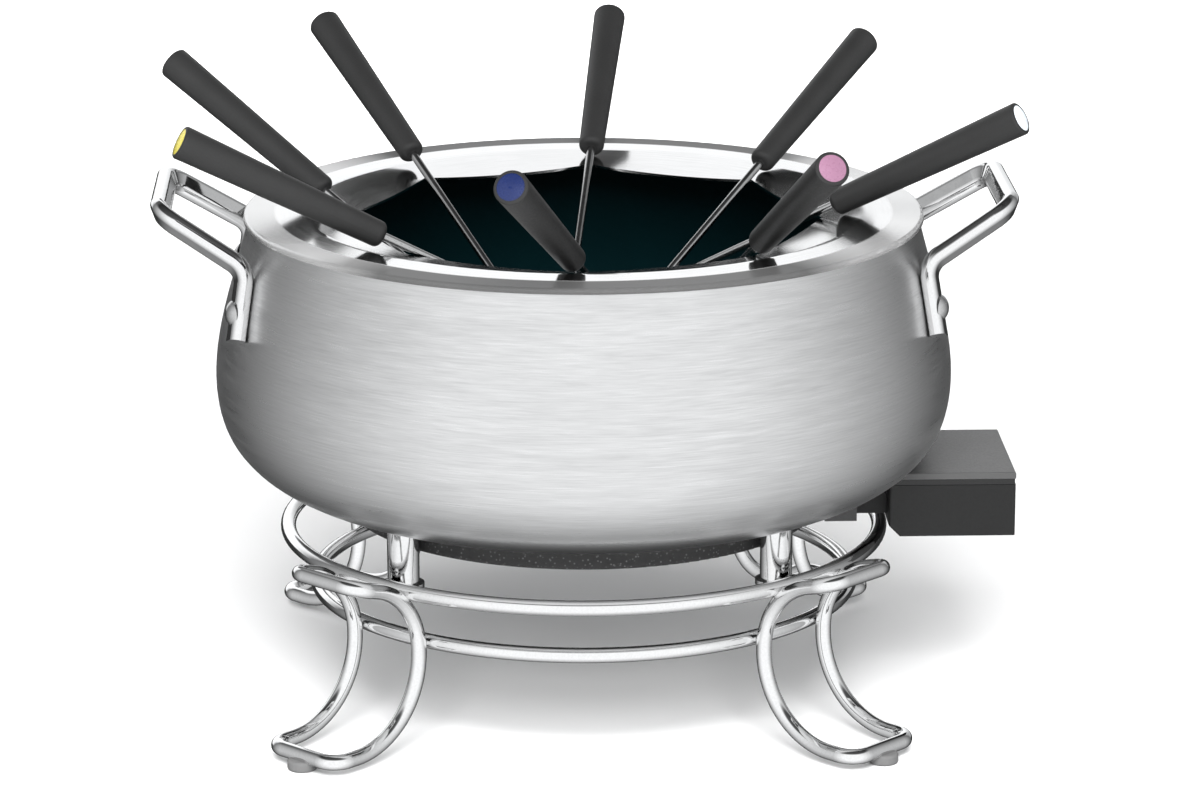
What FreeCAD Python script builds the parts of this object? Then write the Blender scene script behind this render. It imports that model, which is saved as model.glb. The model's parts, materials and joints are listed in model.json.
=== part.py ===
"""Electric fondue pot set: pot on a wire stand, fork ring, eight forks and a plug-in control probe.

Millimetres. +Z is up and the origin is on the table, under the axis of the pot.
The control probe plugs in along X, and the legs of the stand stand on the diagonals.
"""
import FreeCAD
import Part

import math
import os

import Sketcher

from FreeCAD import Placement, Rotation, Vector

doc = FreeCAD.newDocument("FonduePotSet")

# ---------------------------------------------------------------- driving dimensions
DIMENSIONS = {
    # pot: radius and height of the outside at each named station, from the rim down
    "rim_radius": 105.3,
    "rim_height": 153.1,
    "wall_radius": 112.1,
    "wall_height": 128.0,
    "shoulder_radius": 116.1,
    "shoulder_height": 108.0,
    "belly_radius": 116.0,
    "belly_height": 96.0,
    "waist_radius": 112.1,
    "waist_height": 83.5,
    "turn_radius": 103.8,
    "turn_height": 74.4,
    "sole_radius": 91.5,
    "sole_height": 68.3,
    "floor_radius": 78.0,
    "floor_height": 64.8,
    "shell_thickness": 1.0,
    "liner_thickness": 2.0,
    "liner_gap": 0.1,
    # heating base
    "base_radius": 75.5,
    "base_bottom": 58.0,
    "base_round": 1.6,
    "element_ring_radius": 54.0,
    "element_radius": 2.4,
    "element_height": 61.6,
    "pin_spacing": 18.0,
    "pin_radius": 1.6,
    "pin_end": 95.0,
    # fork ring
    "ring_radius": 106.9,
    "ring_top": 154.25,
    "ring_edge_bend": 1.2,
    "skirt_bottom": 152.5,
    "crease_radius": 88.0,
    "crease_bend": 10.0,
    "sheet_thickness": 0.8,
    "opening_radius": 75.2,
    "opening_height": 151.8,
    "notch_radius": 1.9,
    "ring_turn": -3.5,
    # forks
    "fork_rest_radius": 76.0,
    "fork_axis_height": 154.6,
    "fork_grip_length": 69.5,
    "fork_grip_gap": 6.0,
    "fork_near_radius": 4.1,
    "fork_far_radius": 5.3,
    "fork_shaft_radius": 1.3,
    "fork_reach": 132.0,
    "tine_length": 30.0,
    "tine_width": 6.0,
    "barb_width": 0.4,
    "tine_thickness": 1.4,
    "cap_radius": 4.2,
    "cap_thickness": 1.6,
    # pot handles
    "handle_bar_x": 131.8,
    "handle_bar_y": 27.0,
    "handle_bar_height": 159.5,
    "handle_bend_y": 33.0,
    "handle_bend_height": 143.0,
    "handle_foot_y": 42.0,
    "handle_foot_height": 122.5,
    "handle_width": 8.0,
    "handle_depth": 5.0,
    "handle_corner": 2.2,
    "handle_bend_radius": 7.5,
    "rivet_radius": 4.2,
    "rivet_height": 130.5,
    # wire stand
    "ring_wire_radius": 2.4,
    "upper_ring_radius": 94.4,
    "upper_ring_height": 52.0,
    "lower_ring_radius": 85.3,
    "lower_ring_height": 34.2,
    "leg_wire_radius": 2.4,
    "leg_half_width": 14.0,
    "leg_corner_radius": 6.0,
    "foot_bar_radius": 125.5,
    "foot_bar_height": 4.4,
    "top_bar_radius": 115.5,
    "top_bar_height": 57.6,
    "leg_shoulder_height": 50.5,
    "leg_lower_bend": 27.0,
    "leg_upper_bend": 24.0,
    "pad_radius": 4.6,
    "pad_height": 3.2,
    "pad_edge": 0.8,
    "tab_thickness": 1.6,
    "tab_width": 13.0,
    "post_place": 81.4,
    "post_size": 5.0,
    "post_top": 65.0,
    "post_bore": 1.8,
    # control probe
    "box_inner_x": 95.5,
    "box_outer_x": 135.5,
    "box_half_width": 25.7,
    "box_bottom": 53.0,
    "inner_slope": 3.5,
    "box_top": 73.6,
    "box_wall": 2.0,
    "cover_thickness": 2.0,
    "seam_height": 2.0,
    "neck_inner_x": 83.0,
    "guard_end": 86.0,
    "neck_half_width": 16.0,
    "neck_bottom": 57.9,
    "neck_top": 64.6,
    "probe_height": 61.2,
    "probe_radius": 2.0,
    "probe_inner_x": 40.0,
    "pot_clearance": 1.2,
    "dial_radius": 6.8,
    "dial_depth": 3.2,
    "dial_height": 62.2,
    "spindle_radius": 1.5,
    "lens_y": 17.0,
    "lens_radius": 1.75,
    "lens_length": 6.0,
    "thermostat_start": 7.3,
    "thermostat_length": 14.0,
    "thermostat_width": 18.0,
    "thermostat_height": 11.0,
    "board_start": 8.0,
    "board_length": 20.0,
    "board_width": 40.0,
    "board_thickness": 1.4,
    "inlet_start": 108.0,
    "inlet_length": 16.0,
    "inlet_depth": 9.0,
    "inlet_bottom": 56.5,
    "inlet_top": 65.5,
    "dial_clearance": 0.4,
}

sheet = doc.addObject("Spreadsheet::Sheet", "dims")
for row, (alias, number) in enumerate(DIMENSIONS.items(), start=1):
    sheet.set("A%d" % row, alias)
    sheet.set("B%d" % row, str(number))
    sheet.setAlias("B%d" % row, alias)
doc.recompute()

# how each fork stands: notch number (counted from +X), twist off the radius, rise above level,
# and the length of bare shaft between the notch and the grip
FORK_STANCES = [
    (0, -22.7, 28.2, 3.4),
    (1, 10.7, 26.7, 4.1),
    (2, -4.5, 28.7, 3.3),
    (3, -12.2, 29.2, 7.4),
    (4, -31.8, 30.2, 7.5),
    (5, -31.1, 27.6, 6.6),
    (6, -15.9, 30.5, 2.9),
    (7, -25.1, 30.7, 4.6),
]

SIDES = {"left": -1, "right": 1}
LEG_ANGLES = [45, 135, 225, 315]
Z_AXIS = Vector(0, 0, 1)
X_AXIS = Vector(1, 0, 0)
Y_AXIS = Vector(0, 1, 0)

nodes = []


def size(alias):
    """A driving dimension, read from the spreadsheet."""
    return float(sheet.get(alias))


def node(item, label):
    """Registers a document object as a sub-part under its own label."""
    item.Label = label
    nodes.append(item)
    return item


def bind(item, **formulas):
    """Binds properties of an object to spreadsheet formulas."""
    for name, formula in formulas.items():
        item.setExpression(name.replace("__", "."), formula)
    return item


def feature(label, shape, placement=None):
    """A sub-part whose shape is set directly."""
    item = doc.addObject("Part::Feature", label)
    item.Shape = shape
    item.Placement = placement or Placement()
    return node(item, label)


def solid_of(shapes):
    """One shape out of several: fused where they meet."""
    first, rest = shapes[0], shapes[1:]
    return first.multiFuse(rest).removeSplitter() if rest else first


def rod(start, direction, radius, length):
    return Part.makeCylinder(radius, length, start, direction)


def along_x(item):
    """Turns a primitive that stands along Z so that it lies along X."""
    item.Placement = Placement(Vector(0, 0, 0), Rotation(Y_AXIS, 90))
    return item


def block(low, high):
    span = high - low
    return Part.makeBox(span.x, span.y, span.z, low)


def polar(radius, angle, height):
    turn = math.radians(angle)
    return Vector(radius * math.cos(turn), radius * math.sin(turn), height)


def turned(shape, angle):
    """A copy of the shape, turned about the pot's axis."""
    copy = shape.copy()
    copy.rotate(Vector(0, 0, 0), Z_AXIS, angle)
    return copy


def spline(points):
    curve = Part.BSplineCurve()
    curve.interpolate(points)
    return curve


def revolved(edges):
    """A full turn about Z of a closed outline in the XZ plane."""
    face = Part.Face(Part.Wire(Part.__sortEdges__(edges)))
    return face.revolve(Vector(0, 0, 0), Z_AXIS, 360)


def rounded_path(corners, radius, closed=False):
    """A wire through the corners, each one rounded by a tangent arc of the one radius or of its own."""
    count = len(corners)
    radii = radius if isinstance(radius, list) else [radius] * count
    turns = range(count) if closed else range(1, count - 1)
    cuts = {}
    for index in turns:
        here = corners[index]
        before = (corners[index - 1] - here).normalize()
        after = (corners[(index + 1) % count] - here).normalize()
        half_angle = before.getAngle(after) / 2
        setback = radii[index] / math.tan(half_angle)
        middle = (before + after).normalize()
        near = radii[index] / math.sin(half_angle) - radii[index]
        cuts[index] = (here + before * setback, here + middle * near, here + after * setback)
    edges = []
    for index in range(count if closed else count - 1):
        following = (index + 1) % count
        start = cuts[index][2] if index in cuts else corners[index]
        end = cuts[following][0] if following in cuts else corners[following]
        if start.distanceToPoint(end) > 1e-3:
            edges.append(Part.makeLine(start, end))
        if following in cuts:
            edges.append(Part.Arc(*cuts[following]).toShape())
    return Part.Wire(Part.__sortEdges__(edges))


def round_wire(path, radius):
    """A round bar that follows a path."""
    first = path.OrderedEdges[0]
    start = first.valueAt(first.FirstParameter)
    along = first.tangentAt(first.FirstParameter)
    profile = Part.Wire(Part.makeCircle(radius, start, along))
    return path.makePipeShell([profile], True, False)


# ---------------------------------------------------------------- pot
POT_STATIONS = ["rim", "wall", "shoulder", "belly", "waist", "turn", "sole", "floor"]


def pot_profile(inset):
    """The pot's outside curve, moved inward along its normals by the inset."""
    outside = [Vector(size(name + "_radius"), 0, size(name + "_height")) for name in POT_STATIONS]
    curve = spline(outside)
    moved = []
    for point in outside:
        along = curve.tangent(curve.parameter(point))[0]
        moved.append(point + Vector(along.z, 0, -along.x) * inset)
    moved[0] = Vector(moved[0].x, 0, size("rim_height"))
    return spline(moved), moved


def vessel(outer_inset, inner_inset):
    """A closed wall between two insets of the pot's curve, with a flat floor."""
    outer, outer_points = pot_profile(outer_inset)
    inner, inner_points = pot_profile(inner_inset)
    outer_floor = Vector(0, 0, outer_points[-1].z)
    inner_floor = Vector(0, 0, inner_points[-1].z)
    return revolved([
        outer.toShape(),
        Part.makeLine(outer_points[-1], outer_floor),
        Part.makeLine(outer_floor, inner_floor),
        Part.makeLine(inner_floor, inner_points[-1]),
        inner.toShape(),
        Part.makeLine(inner_points[0], outer_points[0]),
    ])


def pot_envelope(clearance):
    """The pot as a solid block, grown outward: it cuts what has to stay clear of the pot."""
    curve, points = pot_profile(-clearance)
    top = Vector(0, 0, points[0].z)
    floor = Vector(0, 0, points[-1].z)
    return revolved([
        curve.toShape(),
        Part.makeLine(points[-1], floor),
        Part.makeLine(floor, top),
        Part.makeLine(top, points[0]),
    ])


def make_pot():
    shell = size("shell_thickness")
    liner_outside = shell + size("liner_gap")
    feature("pot_body", vessel(0, shell))
    feature("inner_liner", vessel(liner_outside, liner_outside + size("liner_thickness")))


# ---------------------------------------------------------------- heating base
ELEMENT_TAIL = 8.0


def element_end():
    """How far out along X the element's ends reach: the pins start there."""
    ring, half_gap = size("element_ring_radius"), size("pin_spacing") / 2
    return math.sqrt(ring ** 2 - half_gap ** 2) + ELEMENT_TAIL


def element_shape(growth=0.0):
    """A tube bent to an open ring, with both ends run out towards the pins."""
    ring = size("element_ring_radius")
    height = size("element_height")
    half_gap = size("pin_spacing") / 2
    start = Vector(math.sqrt(ring ** 2 - half_gap ** 2), half_gap, height)
    end = Vector(start.x, -half_gap, height)
    arc = Part.Arc(start, Vector(-ring, 0, height), end).toShape()
    pieces = [round_wire(Part.Wire([arc]), size("element_radius") + growth)]
    for corner in (start, end):
        pieces.append(rod(corner, X_AXIS, size("element_radius") + growth, ELEMENT_TAIL))
    return solid_of(pieces)


def make_heating_base():
    body = doc.addObject("PartDesign::Body", "base_disc")
    sketch = body.newObject("Sketcher::SketchObject", "base_section")
    plane = [p for p in body.Origin.OriginFeatures if p.Role == "XZ_Plane"][0]
    sketch.AttachmentSupport = [(plane, "")]
    sketch.MapMode = "FlatFace"
    radius, bottom, top = size("base_radius"), size("base_bottom"), size("floor_height")
    corners = [(0, bottom), (radius, bottom), (radius, top), (0, top)]
    for index, (x, y) in enumerate(corners):
        following = corners[(index + 1) % 4]
        sketch.addGeometry(Part.LineSegment(Vector(x, y, 0), Vector(following[0], following[1], 0)))
    for index in range(4):
        sketch.addConstraint(Sketcher.Constraint("Coincident", index, 2, (index + 1) % 4, 1))
    sketch.addConstraint(Sketcher.Constraint("Horizontal", 0))
    sketch.addConstraint(Sketcher.Constraint("Horizontal", 2))
    sketch.addConstraint(Sketcher.Constraint("Vertical", 1))
    sketch.addConstraint(Sketcher.Constraint("PointOnObject", 0, 1, -2))
    sketch.addConstraint(Sketcher.Constraint("PointOnObject", 3, 1, -2))
    sketch.addConstraint(Sketcher.Constraint("DistanceX", 0, 1, 0, 2, radius))
    sketch.setExpression("Constraints[9]", "dims.base_radius")
    sketch.addConstraint(Sketcher.Constraint("DistanceY", -1, 1, 0, 1, bottom))
    sketch.setExpression("Constraints[10]", "dims.base_bottom")
    sketch.addConstraint(Sketcher.Constraint("DistanceY", -1, 1, 2, 2, top))
    sketch.setExpression("Constraints[11]", "dims.floor_height")
    turn = body.newObject("PartDesign::Revolution", "base_turn")
    turn.Profile = sketch
    turn.ReferenceAxis = (sketch, ["V_Axis"])
    turn.Angle = 360
    doc.recompute()
    # the lower edge is rounded
    rounding = body.newObject("PartDesign::Fillet", "base_edge")
    low_edges = [
        "Edge%d" % (index + 1)
        for index, edge in enumerate(turn.Shape.Edges)
        if abs(edge.BoundBox.ZMax - size("base_bottom")) < 1e-6 and edge.BoundBox.XLength > 10
    ]
    rounding.Base = (turn, low_edges)
    bind(rounding, Radius="dims.base_round")
    body.Tip = rounding
    doc.recompute()

    # the element, the pins and the sensor bore are taken out of the casting
    bores = [element_shape(0.02)]
    for side in (-1, 1):
        start = Vector(size("element_ring_radius"), side * size("pin_spacing") / 2, size("element_height"))
        bores.append(rod(start, X_AXIS, size("pin_radius") + 0.02, 40))
    sensor_start = Vector(size("probe_inner_x") - 1, 0, size("probe_height"))
    bores.append(rod(sensor_start, X_AXIS, size("probe_radius") + 0.35, 60))
    channels = doc.addObject("Part::Feature", "base_channels")
    channels.Shape = solid_of(bores)
    casting = doc.addObject("Part::Cut", "casting")
    casting.Base = body
    casting.Tool = channels
    node(casting, "heating_base")

    feature("heating_element", element_shape())
    pin_start = element_end()
    pins = []
    for side in (-1, 1):
        start = Vector(pin_start, side * size("pin_spacing") / 2, size("element_height"))
        pins.append(rod(start, X_AXIS, size("pin_radius"), size("pin_end") - pin_start))
    feature("terminal_pins", Part.makeCompound(pins))


def make_socket_guard():
    """A metal channel under the pot, round the neck of the control probe."""
    wall = 1.2
    gap = 0.8
    start = size("base_radius") + 0.3
    end = size("guard_end")
    half = size("neck_half_width") + gap
    low = size("neck_bottom") - gap
    high = size("neck_top") + gap
    outside = block(Vector(start, -half - wall, low - wall), Vector(end, half + wall, high + wall))
    inside = block(Vector(start + wall, -half, low), Vector(end + 1, half, high))
    back_bores = []
    for side in (-1, 1):
        at = Vector(start - 1, side * size("pin_spacing") / 2, size("element_height"))
        back_bores.append(rod(at, X_AXIS, size("pin_radius") + 1.2, 4))
    back_bores.append(rod(Vector(start - 1, 0, size("probe_height")), X_AXIS, size("probe_radius") + 0.6, 4))
    guard = outside.cut(inside).cut(Part.makeCompound(back_bores)).cut(pot_envelope(0.05))
    feature("socket_guard", guard)


# ---------------------------------------------------------------- pot handles
def handle_section(start, along, across):
    """A rounded rectangle square to the path, with its wide side along the given direction."""
    wide = size("handle_width") / 2
    deep = size("handle_depth") / 2
    up = along.cross(across).normalize()
    points = [(-wide, -deep), (wide, -deep), (wide, deep), (-wide, deep)]
    corners = [start + across * u + up * v for u, v in points]
    return rounded_path(corners, size("handle_corner"), closed=True)


def make_pot_handle(name, side):
    """A cast loop: a bar along Y, and at each end a leg that runs in, then down the pot's wall."""
    bend_height = size("handle_bend_height")
    foot_height = size("handle_foot_height")
    depth = size("handle_depth") / 2
    outside_curve = pot_profile(-depth - 0.1)[0]

    def wall_point(y, height):
        level = Part.Line(Vector(0, 0, height), Vector(1, 0, height))
        radius = max(point.X for point in outside_curve.intersect(level))
        return Vector(side * math.sqrt(radius ** 2 - y ** 2), y, height)

    halves = {}
    for end in (-1, 1):
        halves[end] = [
            wall_point(end * size("handle_foot_y"), foot_height),
            wall_point(end * size("handle_bend_y"), bend_height),
            Vector(side * size("handle_bar_x"), end * size("handle_bar_y"), size("handle_bar_height")),
        ]
    corners = halves[-1] + halves[1][::-1]
    path = rounded_path(corners, size("handle_bend_radius"))
    along = (corners[1] - corners[0]).normalize()
    outward = Vector(corners[0].x, corners[0].y, 0).normalize()
    across = along.cross(outward).normalize()
    loop = path.makePipeShell([handle_section(corners[0], along, across)], True, False)
    loop = loop.cut(pot_envelope(0.05))

    rivets = []
    for end in (-1, 1):
        foot, bend = halves[end][0], halves[end][1]
        share = (size("rivet_height") - foot.z) / (bend.z - foot.z)
        centre = foot + (bend - foot) * share
        normal = Vector(centre.x, centre.y, 0).normalize()
        dome = Part.makeSphere(size("rivet_radius") * 1.2, centre + normal * (depth - 3.0))
        keep = rod(centre + normal * (depth - 0.3), normal, size("rivet_radius"), 6)
        head = dome.common(keep)
        rivets.append(head)
    loop = loop.cut(Part.makeCompound(rivets))
    feature(name + "_handle", loop)
    feature(name + "_handle_rivets", Part.makeCompound(rivets))


# ---------------------------------------------------------------- fork ring
def octagon(radius, low, high):
    corners = [polar(radius, size("ring_turn") + 45 * k, low) for k in range(8)]
    face = Part.Face(Part.makePolygon(corners + [corners[0]]))
    return face.extrude(Vector(0, 0, high - low))


def fork_frame(stance):
    """The place and direction of one fork: local Z runs up the fork from its notch."""
    notch, twist, rise = stance[:3]
    angle = size("ring_turn") + 45 * notch
    base = polar(size("fork_rest_radius"), angle, size("fork_axis_height"))
    level = polar(math.cos(math.radians(rise)), angle + twist, math.sin(math.radians(rise)))
    return base, level


def fork_placement(stance, slide=0.0):
    """Lays local Z along the fork, with the origin in its notch or slid along from it."""
    base, along = fork_frame(stance)
    sideways = Z_AXIS.cross(along).normalize()
    return Placement(base + along * slide, Rotation(sideways, along.cross(sideways), along, "ZXY"))


def ring_sheet():
    """The pressed sheet: a dish round the opening, a flat outer band and a short turned-down skirt."""
    thick = size("sheet_thickness")
    opening, opening_height = size("opening_radius"), size("opening_height")
    crease, top = size("crease_radius"), size("ring_top")
    outside, low = size("ring_radius"), size("skirt_bottom")
    # the dish runs on past the flats of the octagon, which cut it
    inner = opening * math.cos(math.radians(22.5)) - 4
    inner_height = opening_height - (opening - inner) * (top - opening_height) / (crease - opening)
    above = [
        Vector(inner, 0, inner_height),
        Vector(crease, 0, top),
        Vector(outside, 0, top),
        Vector(outside, 0, low),
    ]
    below = [
        Vector(inner, 0, inner_height - thick),
        Vector(crease, 0, top - thick),
        Vector(outside - thick, 0, top - thick),
        Vector(outside - thick, 0, low),
    ]
    crease_bend, edge_bend = size("crease_bend"), size("ring_edge_bend")
    edges = rounded_path(above, [0, crease_bend, edge_bend, 0]).Edges
    edges += rounded_path(below, [0, crease_bend, edge_bend - thick, 0]).Edges
    edges += [Part.makeLine(above[0], below[0]), Part.makeLine(above[-1], below[-1])]
    return revolved(edges)


def make_fork_ring():
    high = size("opening_height")
    opening = octagon(size("opening_radius"), high - 10, high + 10)
    ring = ring_sheet().cut(opening)
    # each notch is open enough for the fork's shaft to lie in and for its tines to draw through
    room = 0.4
    half_wide = size("tine_width") / 2 + size("barb_width") + room
    half_thick = size("tine_thickness") / 2 + room
    tine_way = block(Vector(-half_wide, -half_thick, -14), Vector(half_wide, half_thick, 4))
    shaft_way = rod(Vector(0, 0, -14), Z_AXIS, size("notch_radius"), 18)
    way = solid_of([tine_way, shaft_way])
    for stance in FORK_STANCES:
        passage = way.copy()
        passage.Placement = fork_placement(stance)
        ring = ring.cut(passage)
    feature("fork_ring", ring)


# ---------------------------------------------------------------- forks
def fork_handle():
    """A grip that widens towards its far end, with a recess for the colour disc."""
    start = size("fork_grip_gap")
    end = start + size("fork_grip_length")
    near = size("fork_near_radius")
    far = size("fork_far_radius")
    bore = size("fork_shaft_radius")
    grip = Part.makeCone(near, far, size("fork_grip_length"), Vector(0, 0, start), Z_AXIS)
    ends = [edge for edge in grip.Edges if isinstance(edge.Curve, Part.Circle)]
    near_edge = min(ends, key=lambda edge: edge.BoundBox.ZMin)
    far_edge = max(ends, key=lambda edge: edge.BoundBox.ZMin)
    grip = grip.makeFillet(2.2, [near_edge]).copy()
    far_edge = max(
        (edge for edge in grip.Edges if isinstance(edge.Curve, Part.Circle)),
        key=lambda edge: edge.BoundBox.ZMin,
    )
    grip = grip.makeFillet(0.8, [far_edge])
    recess = rod(Vector(0, 0, end - size("cap_thickness")), Z_AXIS, size("cap_radius"), 5)
    hole = rod(Vector(0, 0, start - 1), Z_AXIS, bore, 19)
    return grip.cut(recess).cut(hole)


def fork_cap():
    """A slightly domed disc in the end of the grip."""
    end = size("fork_grip_gap") + size("fork_grip_length")
    radius = size("cap_radius")
    disc = rod(Vector(0, 0, end - size("cap_thickness")), Z_AXIS, radius, size("cap_thickness") + 0.5)
    dome_radius = 20.0
    dome = Part.makeSphere(dome_radius, Vector(0, 0, end + 0.35 - dome_radius))
    return disc.common(dome)


def fork_shaft():
    """A round rod that ends in two flat pointed tines, each with a barb."""
    tip = -size("fork_reach")
    root = tip + size("tine_length")
    wide = size("tine_width") / 2
    thick = size("tine_thickness")
    top = size("fork_grip_gap") + 18
    radius = size("fork_shaft_radius")
    shaft = rod(Vector(0, 0, root - 1), Z_AXIS, radius, top - root + 1)
    outline = [
        (radius, root + 5),
        (wide, root - 2),
        (wide, tip + 6),
        (wide + size("barb_width"), tip + 5.5),
        (wide - 0.7, tip),
        (wide - 1.7, tip + 6),
        (wide - 1.7, root - 4),
        (0, root - 6),
    ]
    corners = outline + [(-x, z) for x, z in outline[-2::-1]]
    points = [Vector(x, -thick / 2, z) for x, z in corners]
    plate = Part.Face(Part.makePolygon(points + [points[0]])).extrude(Vector(0, thick, 0))
    return solid_of([shaft, plate])


def make_forks():
    grip, cap, shaft = fork_handle(), fork_cap(), fork_shaft()
    for number, stance in enumerate(FORK_STANCES, start=1):
        bare_shaft = stance[3]
        place = fork_placement(stance, bare_shaft - size("fork_grip_gap"))
        feature("fork_%d_handle" % number, grip, place)
        feature("fork_%d_cap" % number, cap, place)
        feature("fork_%d_shaft" % number, shaft, place)


# ---------------------------------------------------------------- wire stand
def make_stand_rings():
    for name in ("upper", "lower"):
        ring = doc.addObject("Part::Torus", "stand_ring_" + name)
        bind(
            ring,
            Radius1="dims.%s_ring_radius" % name,
            Radius2="dims.ring_wire_radius",
            Placement__Base__z="dims.%s_ring_height" % name,
        )
        node(ring, "stand_%s_ring" % name)


def leg_shape():
    """One closed wire loop: foot bar, top bar, and two C-shaped sides that reach in to the rings."""
    half = size("leg_half_width")
    foot, top = size("foot_bar_radius"), size("top_bar_radius")
    low, high = size("foot_bar_height"), size("top_bar_height")
    # the sides touch the lower ring from outside
    touch = size("ring_wire_radius") + size("leg_wire_radius")
    inner = math.sqrt(size("lower_ring_radius") ** 2 - half ** 2) + touch
    stations = [
        Vector(foot, 0, low),
        Vector(foot, half, low),
        Vector(inner, half, low),
        Vector(inner, half, size("leg_shoulder_height")),
        Vector(top, half, high),
        Vector(top, 0, high),
    ]
    bar_bend = size("leg_corner_radius")
    bends = [0, bar_bend, size("leg_lower_bend"), size("leg_upper_bend"), bar_bend, 0]
    side = round_wire(rounded_path(stations, bends), size("leg_wire_radius"))
    loop = solid_of([side, side.mirror(Vector(0, 0, 0), Y_AXIS)])
    # where a side meets a ring it is seated against it and welded
    for name in ("upper", "lower"):
        middle = Vector(0, 0, size("%s_ring_height" % name))
        ring = Part.makeTorus(size("%s_ring_radius" % name), size("ring_wire_radius"), middle, Z_AXIS)
        loop = loop.cut(ring)
    return loop


def pad_shape():
    """A small round rubber pad that hugs the underside of the foot bar."""
    radius, height = size("pad_radius"), size("pad_height")
    place = Vector(size("foot_bar_radius"), 0, 0)
    pad = rod(place, Z_AXIS, radius, height)
    rims = [edge for edge in pad.Edges if isinstance(edge.Curve, Part.Circle)]
    pad = pad.makeFillet(size("pad_edge"), rims)
    bar_start = place + Vector(0, -2 * radius, size("foot_bar_height"))
    return pad.cut(rod(bar_start, Y_AXIS, size("leg_wire_radius"), 4 * radius))


def tab_shape():
    """A round-ended plate welded under the upper ring, with a hole for the post's screw."""
    top = size("upper_ring_height") - size("ring_wire_radius")
    thick = size("tab_thickness")
    half = size("tab_width") / 2
    place = size("post_place")
    plate = block(Vector(place, -half, top - thick), Vector(size("upper_ring_radius"), half, top))
    rounding = rod(Vector(place, 0, top - thick), Z_AXIS, half, thick)
    hole = rod(Vector(place, 0, top - thick - 1), Z_AXIS, size("post_bore"), thick + 2)
    return solid_of([plate, rounding]).cut(hole)


def post_shape():
    """A turned post with a blind bore, cut at the top to the curve of the pot."""
    bottom = size("upper_ring_height") - size("ring_wire_radius")
    place = Vector(size("post_place"), 0, bottom)
    post = rod(place, Z_AXIS, size("post_size"), size("post_top") + 6 - bottom)
    bore = rod(place, Z_AXIS, size("post_bore"), 12)
    return post.cut(bore).cut(pot_envelope(0.02))


def post_screw_shape():
    """A pan-head screw from under the tab into the post."""
    bottom = size("upper_ring_height") - size("ring_wire_radius") - size("tab_thickness")
    place = Vector(size("post_place"), 0, bottom)
    shank = rod(place, Z_AXIS, size("post_bore") - 0.02, 11)
    head = rod(place - Vector(0, 0, 2.2), Z_AXIS, 3.6, 2.2)
    low_edge = min(
        (edge for edge in head.Edges if isinstance(edge.Curve, Part.Circle)),
        key=lambda edge: edge.BoundBox.ZMin,
    )
    head = head.makeFillet(0.9, [low_edge])
    slot = block(place + Vector(-4, -0.5, -3), place + Vector(4, 0.5, -1.3))
    return solid_of([head, shank]).cut(slot)


def make_stand():
    make_stand_rings()
    leg, pad, tab = leg_shape(), pad_shape(), tab_shape()
    post, screw = post_shape(), post_screw_shape()
    for number, angle in enumerate(LEG_ANGLES, start=1):
        feature("stand_leg_%d" % number, leg, Placement(Vector(0, 0, 0), Rotation(Z_AXIS, angle)))
    for label, shape in (
        ("foot_pads", pad),
        ("post_tabs", tab),
        ("posts", post),
        ("post_screws", screw),
    ):
        feature(label, Part.makeCompound([turned(shape, angle) for angle in LEG_ANGLES]))


# ---------------------------------------------------------------- control probe
def inlet_corners(gap):
    """The low and high corners of the supply inlet in the back wall, less the gap all round."""
    back = size("box_half_width")
    low = Vector(size("inlet_start"), back - size("inlet_depth"), size("inlet_bottom"))
    high = Vector(low.x + size("inlet_length"), back, size("inlet_top"))
    return low + Vector(gap, gap, gap), high - Vector(gap, 0, gap)


def dial_pocket():
    """The round recess in the outer end face where the dial sits."""
    radius = size("dial_radius") + size("dial_clearance")
    start = Vector(size("box_outer_x") - size("dial_depth") - 0.4, 0, size("dial_height"))
    return rod(start, X_AXIS, radius, size("dial_depth") + 2)


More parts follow.
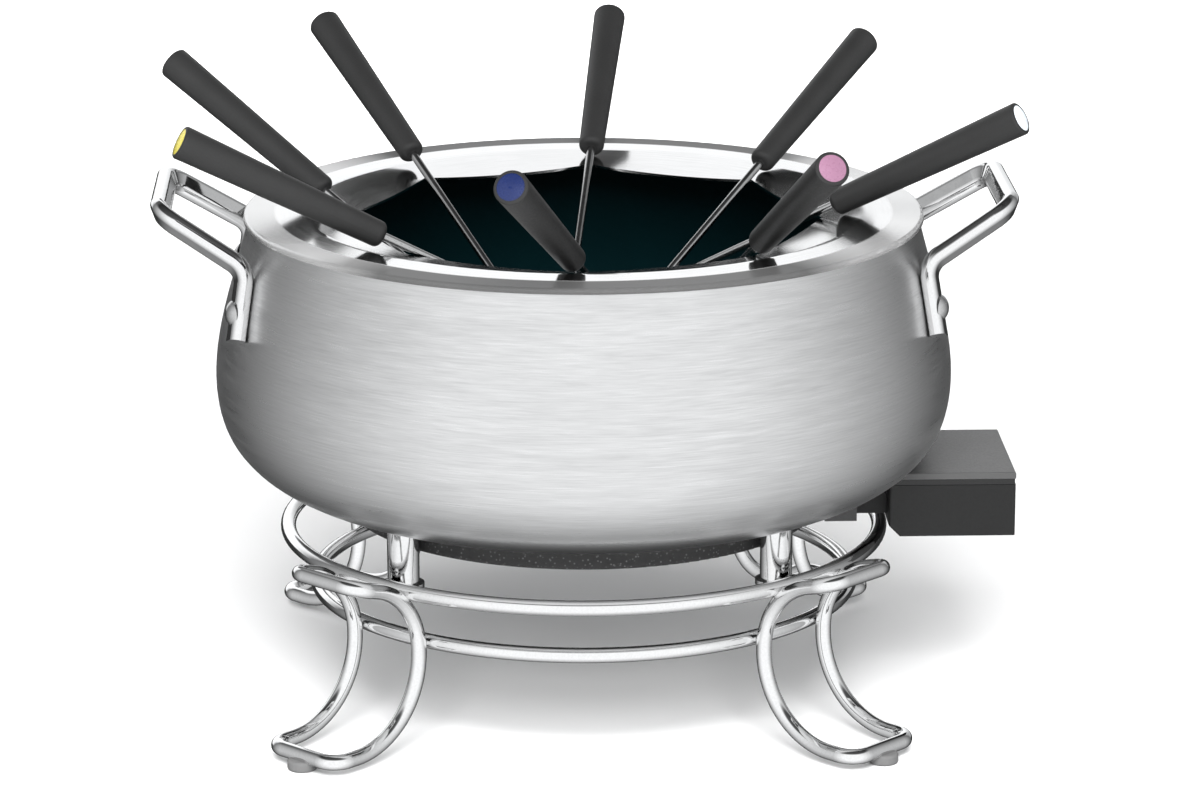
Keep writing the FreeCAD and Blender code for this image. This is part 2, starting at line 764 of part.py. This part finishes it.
def make_control_housing():
    inner_x, outer_x = size("box_inner_x"), size("box_outer_x")
    half, wall = size("box_half_width"), size("box_wall")
    bottom, top = size("box_bottom"), size("box_top") - size("cover_thickness")
    seam = size("seam_height")
    tub = block(Vector(inner_x, -half, bottom), Vector(outer_x, half, top - seam))
    upright = [edge for edge in tub.Edges if edge.BoundBox.ZLength > 5]
    tub = tub.makeFillet(0.8, upright)
    # the lower inner edge slopes back, clear of the stand's upper ring
    slope = size("inner_slope")
    wedge_corners = [
        Vector(inner_x - 1, -half - 1, bottom - 1),
        Vector(inner_x + slope, -half - 1, bottom - 1),
        Vector(inner_x + slope, -half - 1, bottom),
        Vector(inner_x, -half - 1, bottom + slope),
        Vector(inner_x - 1, -half - 1, bottom + slope),
    ]
    wedge = Part.Face(Part.makePolygon(wedge_corners + wedge_corners[:1])).extrude(Y_AXIS * (2 * half + 2))
    tub = tub.cut(wedge)
    hollow_end = outer_x - size("dial_depth") - wall - 1
    hollow_start = inner_x + slope + wall / 2
    hollow = block(Vector(hollow_start, -half + wall, bottom + wall), Vector(hollow_end, half - wall, top))
    neck = block(
        Vector(size("neck_inner_x"), -size("neck_half_width"), size("neck_bottom")),
        Vector(hollow_start, size("neck_half_width"), size("neck_top")),
    )
    bores = []
    for side in (-1, 1):
        start = Vector(size("neck_inner_x") - 1, side * size("pin_spacing") / 2, size("element_height"))
        bores.append(rod(start, X_AXIS, size("pin_radius") + 0.9, 22))
    probe_start = Vector(size("neck_inner_x") - 1, 0, size("probe_height"))
    bores.append(rod(probe_start, X_AXIS, size("probe_radius"), 22))
    spindle_start = Vector(hollow_end - 1, 0, size("dial_height"))
    bores.append(rod(spindle_start, X_AXIS, size("spindle_radius") + 0.1, 12))
    inlet_low, inlet_high = inlet_corners(0)
    inlet = block(inlet_low, inlet_high + Y_AXIS)
    lens_start = Vector(outer_x - wall - 6, size("lens_y"), size("dial_height"))
    lens = rod(lens_start, X_AXIS, size("lens_radius") + 0.05, 12)
    housing = solid_of([tub, neck]).cut(hollow)
    housing = housing.cut(Part.makeCompound(bores)).cut(dial_pocket()).cut(inlet).cut(lens)
    screws = housing_screws()
    for screw in screws.Solids:
        middle = screw.BoundBox.Center
        mouth = rod(Vector(middle.x, middle.y, bottom - 0.1), Z_AXIS, SCREW_HEAD_RADIUS, 0.4)
        seat_start = Vector(middle.x, middle.y, bottom + 0.3)
        seat = Part.makeCone(SCREW_HEAD_RADIUS, SCREW_NECK_RADIUS, SCREW_HEAD_DEPTH, seat_start, Z_AXIS)
        housing = housing.cut(mouth).cut(seat)
    feature("housing_screws", screws)
    feature("control_housing", housing.cut(pot_envelope(size("pot_clearance"))))


def make_seam_strip():
    """A glossy strip between the housing and its cover, a frame all round the box."""
    inner_x, outer_x = size("box_inner_x"), size("box_outer_x")
    half, wall = size("box_half_width"), size("box_wall")
    top = size("box_top") - size("cover_thickness")
    bottom = top - size("seam_height")
    outside = block(Vector(inner_x + 0.3, 0.3 - half, bottom), Vector(outer_x - 0.3, half - 0.3, top))
    inside = block(Vector(inner_x + wall, wall - half, bottom), Vector(outer_x - wall, half - wall, top))
    feature("control_seam_strip", outside.cut(inside).cut(pot_envelope(size("pot_clearance"))))


SCREW_HEAD_RADIUS = 2.4
SCREW_NECK_RADIUS = 1.2
SCREW_HEAD_DEPTH = 1.2


def housing_screws():
    """Four screws sunk in the underside of the box."""
    screws = []
    for x in (size("box_inner_x") + 5.5, size("box_outer_x") - 5):
        for side in (-1, 1):
            place = Vector(x, side * (size("box_half_width") - 4.5), size("box_bottom"))
            head_start = place + Vector(0, 0, 0.3)
            head = Part.makeCone(SCREW_HEAD_RADIUS, SCREW_NECK_RADIUS, SCREW_HEAD_DEPTH, head_start, Z_AXIS)
            slot = block(place + Vector(-3, -0.3, 0), place + Vector(3, 0.3, 0.8))
            screws.append(head.cut(slot))
    return Part.makeCompound(screws)


def make_control_cover():
    half = size("box_half_width")
    top = size("box_top")
    cover = block(
        Vector(size("box_inner_x"), -half, top - size("cover_thickness")),
        Vector(size("box_outer_x"), half, top),
    )
    rim = [edge for edge in cover.Edges if edge.BoundBox.ZMin > top - 1e-6]
    cover = cover.makeFillet(0.5, rim)
    feature("control_cover", cover.cut(pot_envelope(size("pot_clearance"))))


def make_dial():
    """A ribbed disc sunk in the outer end face, on its spindle."""
    start = Vector(size("box_outer_x") - size("dial_depth"), 0, size("dial_height"))
    disc = rod(start, X_AXIS, size("dial_radius"), size("dial_depth"))
    ribs = 24
    cuts = []
    for number in range(ribs):
        turn = 2 * math.pi * number / ribs
        outward = Vector(0, math.cos(turn), math.sin(turn))
        place = start + Vector(0.8, 0, 0) + outward * (size("dial_radius") + 0.25)
        cuts.append(rod(place, X_AXIS, 0.6, size("dial_depth")))
    pointer = block(start + Vector(size("dial_depth") - 0.6, -0.5, 1.5), start + Vector(5, 0.5, 6.2))
    socket = rod(start - X_AXIS, X_AXIS, size("spindle_radius"), 3)
    feature("temperature_dial", disc.cut(Part.makeCompound(cuts)).cut(pointer).cut(socket))
    # the spindle runs from just clear of the thermostat to 2 mm inside the dial
    spindle = along_x(doc.addObject("Part::Cylinder", "dial_spindle"))
    bind(
        spindle,
        Radius="dims.spindle_radius",
        Height="dims.box_outer_x - dims.dial_depth - dims.box_inner_x"
        " - dims.thermostat_start - dims.thermostat_length + 1.7",
        Placement__Base__x="dims.box_inner_x + dims.thermostat_start + dims.thermostat_length + 0.3",
        Placement__Base__z="dims.dial_height",
    )
    node(spindle, "dial_spindle")


def make_probe_inside():
    height = size("element_height")
    inner_x = size("box_inner_x")
    sleeves = []
    for side in (-1, 1):
        start = Vector(size("neck_inner_x") + 2, side * size("pin_spacing") / 2, height)
        sleeve = rod(start, X_AXIS, size("pin_radius") + 0.85, inner_x + 7 - start.x)
        hole = rod(start - X_AXIS, X_AXIS, size("pin_radius") + 0.3, size("pin_end") - start.x + 2)
        sleeves.append(sleeve.cut(hole))
    feature("contact_sleeves", Part.makeCompound(sleeves))

    probe_start = Vector(size("probe_inner_x") + 1.5, 0, size("probe_height"))
    length = inner_x + 7 - probe_start.x
    rod_part = rod(probe_start, X_AXIS, size("probe_radius") - 0.02, length)
    tip = Part.makeSphere(size("probe_radius") - 0.02, probe_start)
    feature("sensor_probe", solid_of([rod_part, tip]))

    # the thermostat stands on the floor of the box, behind the probe, and carries the board
    thermostat = bind(
        doc.addObject("Part::Box", "thermostat"),
        Length="dims.thermostat_length",
        Width="dims.thermostat_width",
        Height="dims.thermostat_height",
        Placement__Base__x="dims.box_inner_x + dims.thermostat_start",
        Placement__Base__y="-dims.thermostat_width / 2",
        Placement__Base__z="dims.box_bottom + dims.box_wall",
    )
    node(thermostat, "thermostat_block")
    board = bind(
        doc.addObject("Part::Box", "board"),
        Length="dims.board_length",
        Width="dims.board_width",
        Height="dims.board_thickness",
        Placement__Base__x="dims.box_inner_x + dims.board_start",
        Placement__Base__y="-dims.board_width / 2",
        Placement__Base__z="dims.box_bottom + dims.box_wall + dims.thermostat_height",
    )
    node(board, "terminal_board")
    lens = bind(
        along_x(doc.addObject("Part::Cylinder", "lens")),
        Radius="dims.lens_radius",
        Height="dims.lens_length",
        Placement__Base__x="dims.box_outer_x - dims.lens_length",
        Placement__Base__y="dims.lens_y",
        Placement__Base__z="dims.dial_height",
    )
    node(lens, "indicator_lens")


def make_inlet():
    """A shallow two-pin supply inlet in the back face of the box."""
    low, high = inlet_corners(0.05)
    cavity = block(low + Vector(1.2, 1.5, 1.2), high + Vector(-1.2, 1, -1.2))
    cup = block(low, high).cut(cavity)
    pins = []
    for side in (-1, 1):
        start = Vector((low.x + high.x) / 2 + side * 3, low.y - 3, (low.z + high.z) / 2)
        pins.append(rod(start, Y_AXIS, 1.0, 10))
    feature("supply_inlet", cup.cut(Part.makeCompound(pins)))
    feature("supply_pins", Part.makeCompound(pins))


def main():
    make_pot()
    make_heating_base()
    make_socket_guard()
    for name, side in SIDES.items():
        make_pot_handle(name, side)
    make_fork_ring()
    make_forks()
    make_stand()
    make_control_housing()
    make_seam_strip()
    make_control_cover()
    make_dial()
    make_probe_inside()
    make_inlet()
    doc.recompute()

    os.makedirs("parts", exist_ok=True)
    for item in nodes:
        assert not {"Invalid", "Error"} & set(item.State), item.Label
        shape = item.Shape
        assert not shape.isNull() and shape.isValid() and shape.Solids, item.Label
        shape.exportStep("parts/%s.step" % item.Label)
    print(len(nodes), "sub-parts written")


main()
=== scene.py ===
import json
import math

import bpy
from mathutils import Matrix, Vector

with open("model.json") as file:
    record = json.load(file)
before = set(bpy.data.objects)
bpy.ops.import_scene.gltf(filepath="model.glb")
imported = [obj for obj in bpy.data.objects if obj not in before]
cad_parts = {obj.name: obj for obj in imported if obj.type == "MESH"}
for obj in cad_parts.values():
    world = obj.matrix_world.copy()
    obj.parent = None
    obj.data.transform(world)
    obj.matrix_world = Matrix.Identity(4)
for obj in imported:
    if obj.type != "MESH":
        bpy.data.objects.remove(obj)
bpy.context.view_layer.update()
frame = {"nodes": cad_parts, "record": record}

SCENE = bpy.context.scene

# the camera: sizes in metres, angles in degrees, focal length in pixels of the full image
IMAGE_WIDTH = 1185
SENSOR_WIDTH = 36.0
FOCAL_PIXELS = 4869.0
CAMERA_TILT = 15.087
CAMERA_TURN = -2.0
CAMERA_DISTANCE = 1.4952
CAMERA_HEIGHT = 0.4963
CAMERA_ASIDE = 0.0028
CAMERA_CLIP_END = 50.0

# how deep, in metres, the relief of a fine grain is taken to be
GRAIN_DEPTH = 0.0002
POLISH_DEPTH = 0.0001

# the fork ring's outer band fades in between these distances from the pot's axis
BAND_START = 0.0965
BAND_FULL = 0.0975

# ---------------------------------------------------------------- node helpers


class Tree:
    """A thin wrapper that makes shader nodes and links in one call each."""

    def __init__(self, name):
        self.material = bpy.data.materials.new(name)
        self.material.use_nodes = True
        self.nodes = self.material.node_tree.nodes
        self.links = self.material.node_tree.links
        self.shader = self.nodes["Principled BSDF"]

    def add(self, kind, inputs=None, **settings):
        made = self.nodes.new(kind)
        for key, value in settings.items():
            setattr(made, key, value)
        for key, value in (inputs or {}).items():
            if isinstance(value, bpy.types.NodeSocket):
                self.links.new(value, made.inputs[key])
            else:
                made.inputs[key].default_value = value
        return made

    def math(self, operation, first, second=0.0):
        made = self.add("ShaderNodeMath", {0: first, 1: second}, operation=operation)
        return made.outputs[0]

    def place(self):
        """Where a point is on the piece, in metres."""
        return self.add("ShaderNodeTexCoord").outputs["Object"]

    def length(self, x, y):
        """How far a point is from the pot's axis."""
        squares = self.math("ADD", self.math("MULTIPLY", x, x), self.math("MULTIPLY", y, y))
        return self.math("SQRT", squares)

    def cells(self, scale):
        """Small random cells: the distance of a point from the middle of its own cell."""
        made = self.add("ShaderNodeTexVoronoi", {"Vector": self.place(), "Scale": scale})
        return made.outputs[0]

    def split(self, vector):
        made = self.add("ShaderNodeSeparateXYZ", {"Vector": vector})
        return made.outputs

    def mix(self, first, second, share):
        """Adds a share of the first to the rest of the second."""
        rest = round(1.0 - share, 6)
        return self.math("ADD", self.math("MULTIPLY", first, share), self.math("MULTIPLY", second, rest))

    def join(self, x, y, z):
        made = self.add("ShaderNodeCombineXYZ", {"X": x, "Y": y, "Z": z})
        return made.outputs[0]

    def noise(self, vector, scale, detail=3.0, roughness=0.5):
        made = self.add(
            "ShaderNodeTexNoise",
            {"Vector": vector, "Scale": scale, "Detail": detail, "Roughness": roughness},
        )
        return made.outputs[0]

    def remap(self, value, low, high, from_low=0.3, from_high=0.7):
        """Runs from low to high; the usual range it starts from is that of a noise."""
        made = self.add(
            "ShaderNodeMapRange",
            {
                "Value": value,
                "From Min": from_low,
                "From Max": from_high,
                "To Min": low,
                "To Max": high,
            },
        )
        return made.outputs[0]

    def blend(self, factor, first, second):
        """A colour between two others."""
        made = self.add("ShaderNodeMix", data_type="RGBA")
        self.links.new(factor, made.inputs[0])
        made.inputs[6].default_value = (*first, 1.0)
        made.inputs[7].default_value = (*second, 1.0)
        return made.outputs[2]

    def bump(self, height, strength, distance=GRAIN_DEPTH):
        made = self.add("ShaderNodeBump", {"Height": height, "Strength": strength, "Distance": distance})
        self.links.new(made.outputs[0], self.shader.inputs["Normal"])

    def feed(self, **sockets):
        """Links or sets the shader's own sockets; an underscore in a name is a space."""
        for key, value in sockets.items():
            socket = self.shader.inputs[key.replace("_", " ")]
            if isinstance(value, bpy.types.NodeSocket):
                self.links.new(value, socket)
            else:
                socket.default_value = value


def shade(value):
    """A neutral grey."""
    return (value, value, value)


# ---------------------------------------------------------------- materials


def around(tree, along, up):
    """Coordinates that run round the pot's axis and up it: streaks come out level."""
    x, y, z = tree.split(tree.place())
    angle = tree.math("ARCTAN2", y, x)
    seam_free_x = tree.math("MULTIPLY", tree.math("COSINE", angle), along)
    seam_free_y = tree.math("MULTIPLY", tree.math("SINE", angle), along)
    # adding most of the radius keeps the streaks narrow where the metal lies flat
    radius_share = 0.9
    climb = tree.math("ADD", z, tree.math("MULTIPLY", tree.length(x, y), radius_share))
    return tree.join(seam_free_x, seam_free_y, tree.math("MULTIPLY", climb, up))


def brushed_steel(name, light, dark, roughness, bump):
    """Steel with fine grain that runs level round the pot."""
    tree = Tree(name)
    fine = tree.noise(around(tree, along=9.0, up=2600.0), scale=1.0, detail=4.0, roughness=0.6)
    broad = tree.noise(around(tree, along=3.5, up=420.0), scale=1.0)
    grain = tree.mix(fine, broad, share=0.65)
    tree.feed(
        Base_Color=tree.blend(tree.remap(grain, 0.0, 1.0), shade(dark), shade(light)),
        Roughness=tree.remap(grain, roughness + 0.07, roughness - 0.05),
        Metallic=1.0,
        Anisotropic=0.55,
    )
    tangent = tree.add("ShaderNodeTangent", direction_type="RADIAL", axis="Z")
    tree.links.new(tangent.outputs[0], tree.shader.inputs["Tangent"])
    tree.bump(grain, bump)
    return tree.material


def drawn_steel(name, tone, roughness):
    """Plain drawn or turned steel with a faint mottle."""
    tree = Tree(name)
    darkest = 0.86
    mottle = tree.noise(tree.place(), scale=900.0, detail=4.0, roughness=0.6)
    tree.feed(
        Base_Color=tree.blend(tree.remap(mottle, 0.0, 1.0), shade(tone * darkest), shade(tone)),
        Roughness=tree.remap(mottle, roughness - 0.04, roughness + 0.06),
        Metallic=1.0,
    )
    tree.bump(mottle, strength=0.06)
    return tree.material


def chrome(name, tone, roughness, ripple):
    """Plated metal: mirror bright, with the slight ripple of the wire or casting under it."""
    tree = Tree(name)
    darkest = 0.94
    swell_depth = 0.0006
    swell = tree.noise(tree.place(), scale=120.0, detail=2.0, roughness=0.4)
    specks = tree.noise(tree.place(), scale=1400.0, roughness=0.6)
    tree.feed(
        Base_Color=tree.blend(tree.remap(specks, 0.0, 1.0), shade(tone * darkest), shade(tone)),
        Roughness=tree.remap(specks, roughness, roughness + 0.05),
        Metallic=1.0,
    )
    tree.bump(swell, ripple, swell_depth)
    return tree.material


def ring_steel(name):
    """The fork ring: bright, with a spun outer band that holds painted shade but for its ends.

    Spun metal spreads a highlight across its grain. Here that look is painted into the colour: the band is
    painted light where it runs away to the sides and painted dark at the front and back, and its metal is
    made duller there too.
    """
    tree = Tree(name)
    x, y = tree.split(tree.place())[:2]
    radius = tree.length(x, y)
    spun = tree.noise(around(tree, along=5.0, up=2400.0), scale=1.0, roughness=0.6)
    cloud = tree.noise(tree.place(), scale=60.0)
    turning = tree.mix(spun, cloud, share=0.6)
    band = tree.remap(radius, 0.0, 1.0, from_low=BAND_START, from_high=BAND_FULL)
    # 1 where the band runs away to the sides, 0 at the front and back
    sideways = tree.math("DIVIDE", tree.math("ABSOLUTE", x), radius)
    # painted shade: where the outer band's colour is darkened at the front and back, a painted stand-in for
    # the spread highlight of spun metal
    shade_mask_front_back = tree.remap(sideways, 0.95, 0.2, from_low=0.6, from_high=0.97)
    painted_band_shade = tree.math("MULTIPLY", band, shade_mask_front_back)
    unshaded_share = tree.math("SUBTRACT", 1.0, painted_band_shade)
    # the real turned grain's tone, times the share that the painted shade leaves light
    bright = tree.math("MULTIPLY", tree.remap(turning, 0.85, 1.0), unshaded_share)
    band_roughness = tree.math("MULTIPLY", band, 0.12)
    tree.feed(
        Base_Color=tree.blend(bright, shade(0.05), shade(0.84)),
        Roughness=tree.math("ADD", band_roughness, tree.remap(turning, 0.08, 0.13)),
        # the painted shade also turns the band less metallic at the front and back
        Metallic=tree.math("SUBTRACT", 1.0, tree.math("MULTIPLY", painted_band_shade, 0.8)),
        Specular_IOR_Level=0.0,
    )
    tree.bump(turning, strength=0.04, distance=POLISH_DEPTH)
    return tree.material


def nonstick(name):
    """Black coating, slightly pebbled, with a soft sheen."""
    tree = Tree(name)
    pebble = tree.noise(tree.place(), scale=1500.0, roughness=0.6)
    fleck = tree.remap(tree.cells(scale=900.0), 1.0, 0.0, from_low=0.04, from_high=0.12)
    tree.feed(
        Base_Color=tree.blend(fleck, (0.001, 0.0095, 0.0115), (0.006, 0.03, 0.034)),
        Roughness=tree.remap(pebble, 0.34, 0.5),
        Specular_IOR_Level=0.4,
    )
    tree.bump(pebble, strength=0.12)
    return tree.material


def cast_base(name):
    """Dark cast metal with light specks."""
    tree = Tree(name)
    cast_depth = 0.0004
    speck = tree.remap(tree.cells(scale=800.0), 1.0, 0.0, from_low=0.05, from_high=0.3)
    cast = tree.noise(tree.place(), scale=500.0, detail=5.0, roughness=0.65)
    tree.feed(
        Base_Color=tree.blend(speck, shade(0.035), shade(0.17)),
        Roughness=tree.remap(cast, 0.5, 0.72),
        Metallic=0.35,
    )
    tree.bump(cast, strength=0.35, distance=cast_depth)
    return tree.material


def plastic(name, colour, roughness, grain_scale, grain):
    """Moulded plastic: an even colour that varies a little, over a fine moulded grain."""
    tree = Tree(name)
    darkest = 0.88
    texture = tree.noise(tree.place(), grain_scale, detail=4.0, roughness=0.6)
    drift = tree.noise(tree.place(), scale=90.0, detail=2.0)
    darker = tuple(part * darkest for part in colour)
    tree.feed(
        Base_Color=tree.blend(tree.remap(drift, 0.0, 1.0), darker, colour),
        Roughness=tree.remap(texture, roughness - 0.05, roughness + 0.07),
    )
    tree.bump(texture, grain)
    return tree.material


def brass(name):
    """Plain turned brass with a faint mottle."""
    tree = Tree(name)
    mottle = tree.noise(tree.place(), scale=700.0)
    tree.feed(
        Base_Color=tree.blend(tree.remap(mottle, 0.0, 1.0), (0.55, 0.40, 0.16), (0.74, 0.58, 0.28)),
        Roughness=tree.remap(mottle, 0.22, 0.34),
        Metallic=1.0,
    )
    tree.bump(mottle, strength=0.05, distance=POLISH_DEPTH)
    return tree.material


CAP_COLOURS = {
    "cap_yellow": (0.50, 0.43, 0.05),
    "cap_blue": (0.005, 0.012, 0.06),
    "cap_pink": (0.20, 0.10, 0.155),
    "cap_white": (0.66, 0.71, 0.76),
    "cap_red": (0.30, 0.015, 0.015),
    "cap_green": (0.015, 0.16, 0.04),
    "cap_orange": (0.45, 0.14, 0.01),
    "cap_purple": (0.10, 0.025, 0.17),
}

MATERIALS = {
    "brushed_stainless": brushed_steel("brushed_stainless", light=0.80, dark=0.62, roughness=0.3, bump=0.16),
    "nonstick": nonstick("nonstick"),
    "cast_base": cast_base("cast_base"),
    "pin_brass": brass("pin_brass"),
    "ring_steel": ring_steel("ring_steel"),
}

# slot: tone, roughness
DRAWN_STEELS = {
    "element_steel": (0.42, 0.4),
    "guard_steel": (0.12, 0.45),
    "rivet_steel": (0.62, 0.22),
    "screw_steel": (0.5, 0.3),
    "fork_steel": (0.6, 0.2),
}

# slot: tone, roughness, ripple
CHROMES = {
    "handle_chrome": (0.86, 0.05, 0.14),
    "wire_chrome": (0.88, 0.015, 0.05),
    "post_chrome": (0.84, 0.04, 0.03),
}

# slot: colour, roughness, scale of the grain, strength of the grain
PLASTICS = {
    "pad_rubber": (shade(0.13), 0.7, 1200.0, 0.2),
    "grip_plastic": (shade(0.014), 0.5, 1800.0, 0.22),
    "box_plastic": (shade(0.0035), 0.5, 1500.0, 0.12),
    "cover_plastic": (shade(0.06), 0.46, 1500.0, 0.1),
    "seam_gloss": (shade(0.006), 0.1, 600.0, 0.02),
    "dial_plastic": (shade(0.02), 0.45, 1500.0, 0.15),
    "board_tan": ((0.32, 0.22, 0.11), 0.6, 900.0, 0.15),
    "lens_red": ((0.45, 0.02, 0.015), 0.12, 400.0, 0.02),
}

for maker, table in ((drawn_steel, DRAWN_STEELS), (chrome, CHROMES), (plastic, PLASTICS)):
    for slot, values in table.items():
        MATERIALS[slot] = maker(slot, *values)
for slot, colour in CAP_COLOURS.items():
    MATERIALS[slot] = plastic(slot, colour, roughness=0.28, grain_scale=700.0, grain=0.05)


def dress_frame():
    """Gives every CAD node the material of its slot."""
    for row in frame["record"]["subparts"]:
        piece = frame["nodes"][row["node"]]
        for index in range(len(piece.material_slots)):
            piece.material_slots[index].material = MATERIALS[row["material_slot"]]


# ---------------------------------------------------------------- studio


def area_light(name, place, target, width, height, power):
    """A rectangular lamp that faces its target; sizes in metres, power in watts."""
    data = bpy.data.lights.new(name, "AREA")
    data.shape = "RECTANGLE"
    data.size = width
    data.size_y = height
    data.energy = power
    lamp = bpy.data.objects.new(name, data)
    SCENE.collection.objects.link(lamp)
    lamp.location = place
    lamp.rotation_euler = (Vector(target) - Vector(place)).to_track_quat("-Z", "Y").to_euler()
    return lamp


def make_floor():
    """A plain pale table that the camera sees and the metal doesn't mirror."""
    reach = 6.0
    mesh = bpy.data.meshes.new("floor")
    corners = [(-reach, -reach, 0), (reach, -reach, 0), (reach, reach, 0), (-reach, reach, 0)]
    mesh.from_pydata(corners, [], [(0, 1, 2, 3)])
    floor = bpy.data.objects.new("floor", mesh)
    SCENE.collection.objects.link(floor)
    tree = Tree("floor_paper")
    tone = tree.noise(tree.place(), scale=3.0, detail=2.0)
    tree.feed(
        Base_Color=tree.blend(tree.remap(tone, 0.0, 1.0), shade(0.86), shade(0.88)),
        Roughness=0.6,
    )
    mesh.materials.append(tree.material)
    floor.visible_glossy = False


def make_world():
    """The studio that the metal mirrors: a pale front, a white wall at the back, dark above.

    x, y and z are the parts of a direction; z is the sine of its height above the horizon.
    """
    world = bpy.data.worlds.new("studio")
    SCENE.world = world
    world.use_nodes = True
    tree = world.node_tree
    back = tree.nodes["Background"]

    def ramp(value, start, end, low, high, shape="SMOOTHSTEP"):
        made = tree.nodes.new("ShaderNodeMapRange")
        made.interpolation_type = shape
        tree.links.new(value, made.inputs["Value"])
        for key, number in (("From Min", start), ("From Max", end), ("To Min", low), ("To Max", high)):
            made.inputs[key].default_value = number
        return made.outputs[0]

    def combine(operation, first, *others):
        result = first
        for other in others:
            made = tree.nodes.new("ShaderNodeMath")
            made.operation = operation
            tree.links.new(result, made.inputs[0])
            tree.links.new(other, made.inputs[1])
            result = made.outputs[0]
        return result

    direction = tree.nodes.new("ShaderNodeTexCoord").outputs["Generated"]
    split = tree.nodes.new("ShaderNodeSeparateXYZ")
    tree.links.new(direction, split.inputs[0])
    x, y, z = split.outputs
    # the front fades round the sides and towards the zenith
    front = combine(
        "MULTIPLY",
        ramp(y, start=0.75, end=-0.75, low=0.04, high=1.15, shape="LINEAR"),
        ramp(z, start=0.66, end=0.86, low=1.0, high=0.1),
    )
    # the white wall behind the set stands on the table and is duller on the right
    wall = combine(
        "MULTIPLY",
        ramp(z, start=0.68, end=0.58, low=0.0, high=1.2),
        ramp(z, start=-0.03, end=0.02, low=0.0, high=1.0),
        ramp(y, start=0.45, end=0.8, low=0.0, high=1.0),
        ramp(x, start=0.02, end=0.5, low=1.0, high=0.4),
    )
    tree.links.new(combine("MAXIMUM", front, wall), back.inputs["Strength"])
    back.inputs["Color"].default_value = (0.98, 0.99, 1.0, 1.0)


def make_lights():
    """Soft lamps that light the table and cast the shadow; the metal mirrors only the studio."""
    key = area_light(
        "key", place=(-0.05, -1.2, 1.0), target=(0.0, 0.0, 0.05), width=0.8, height=0.8, power=38.0
    )
    overhead = area_light(
        "overhead", place=(-0.05, -0.5, 1.25), target=(-0.05, -0.5, 0.0), width=1.5, height=1.3, power=18.0
    )
    far_table = area_light(
        "far_table", place=(0.0, 1.8, 1.0), target=(0.0, 1.8, 0.0), width=1.8, height=1.8, power=34.0
    )
    far_table.data.spread = math.radians(70.0)
    for lamp in (key, overhead, far_table):
        lamp.visible_glossy = False


def make_camera():
    """The view: 15 degrees down, a long lens, turned 2 degrees so that the set looks turned."""
    tilt = math.radians(CAMERA_TILT)
    turn = math.radians(CAMERA_TURN)
    data = bpy.data.cameras.new("camera")
    data.sensor_width = SENSOR_WIDTH
    data.lens = FOCAL_PIXELS * SENSOR_WIDTH / IMAGE_WIDTH
    data.clip_end = CAMERA_CLIP_END
    camera = bpy.data.objects.new("camera", data)
    SCENE.collection.objects.link(camera)
    camera.location = (
        CAMERA_ASIDE * math.cos(turn) + CAMERA_DISTANCE * math.sin(turn),
        CAMERA_ASIDE * math.sin(turn) - CAMERA_DISTANCE * math.cos(turn),
        CAMERA_HEIGHT,
    )
    camera.rotation_euler = (math.pi / 2 - tilt, 0.0, turn)
    bpy.context.scene.camera = camera


dress_frame()
make_floor()
make_world()
make_lights()
make_camera()
SCENE.view_settings.view_transform = "Standard"
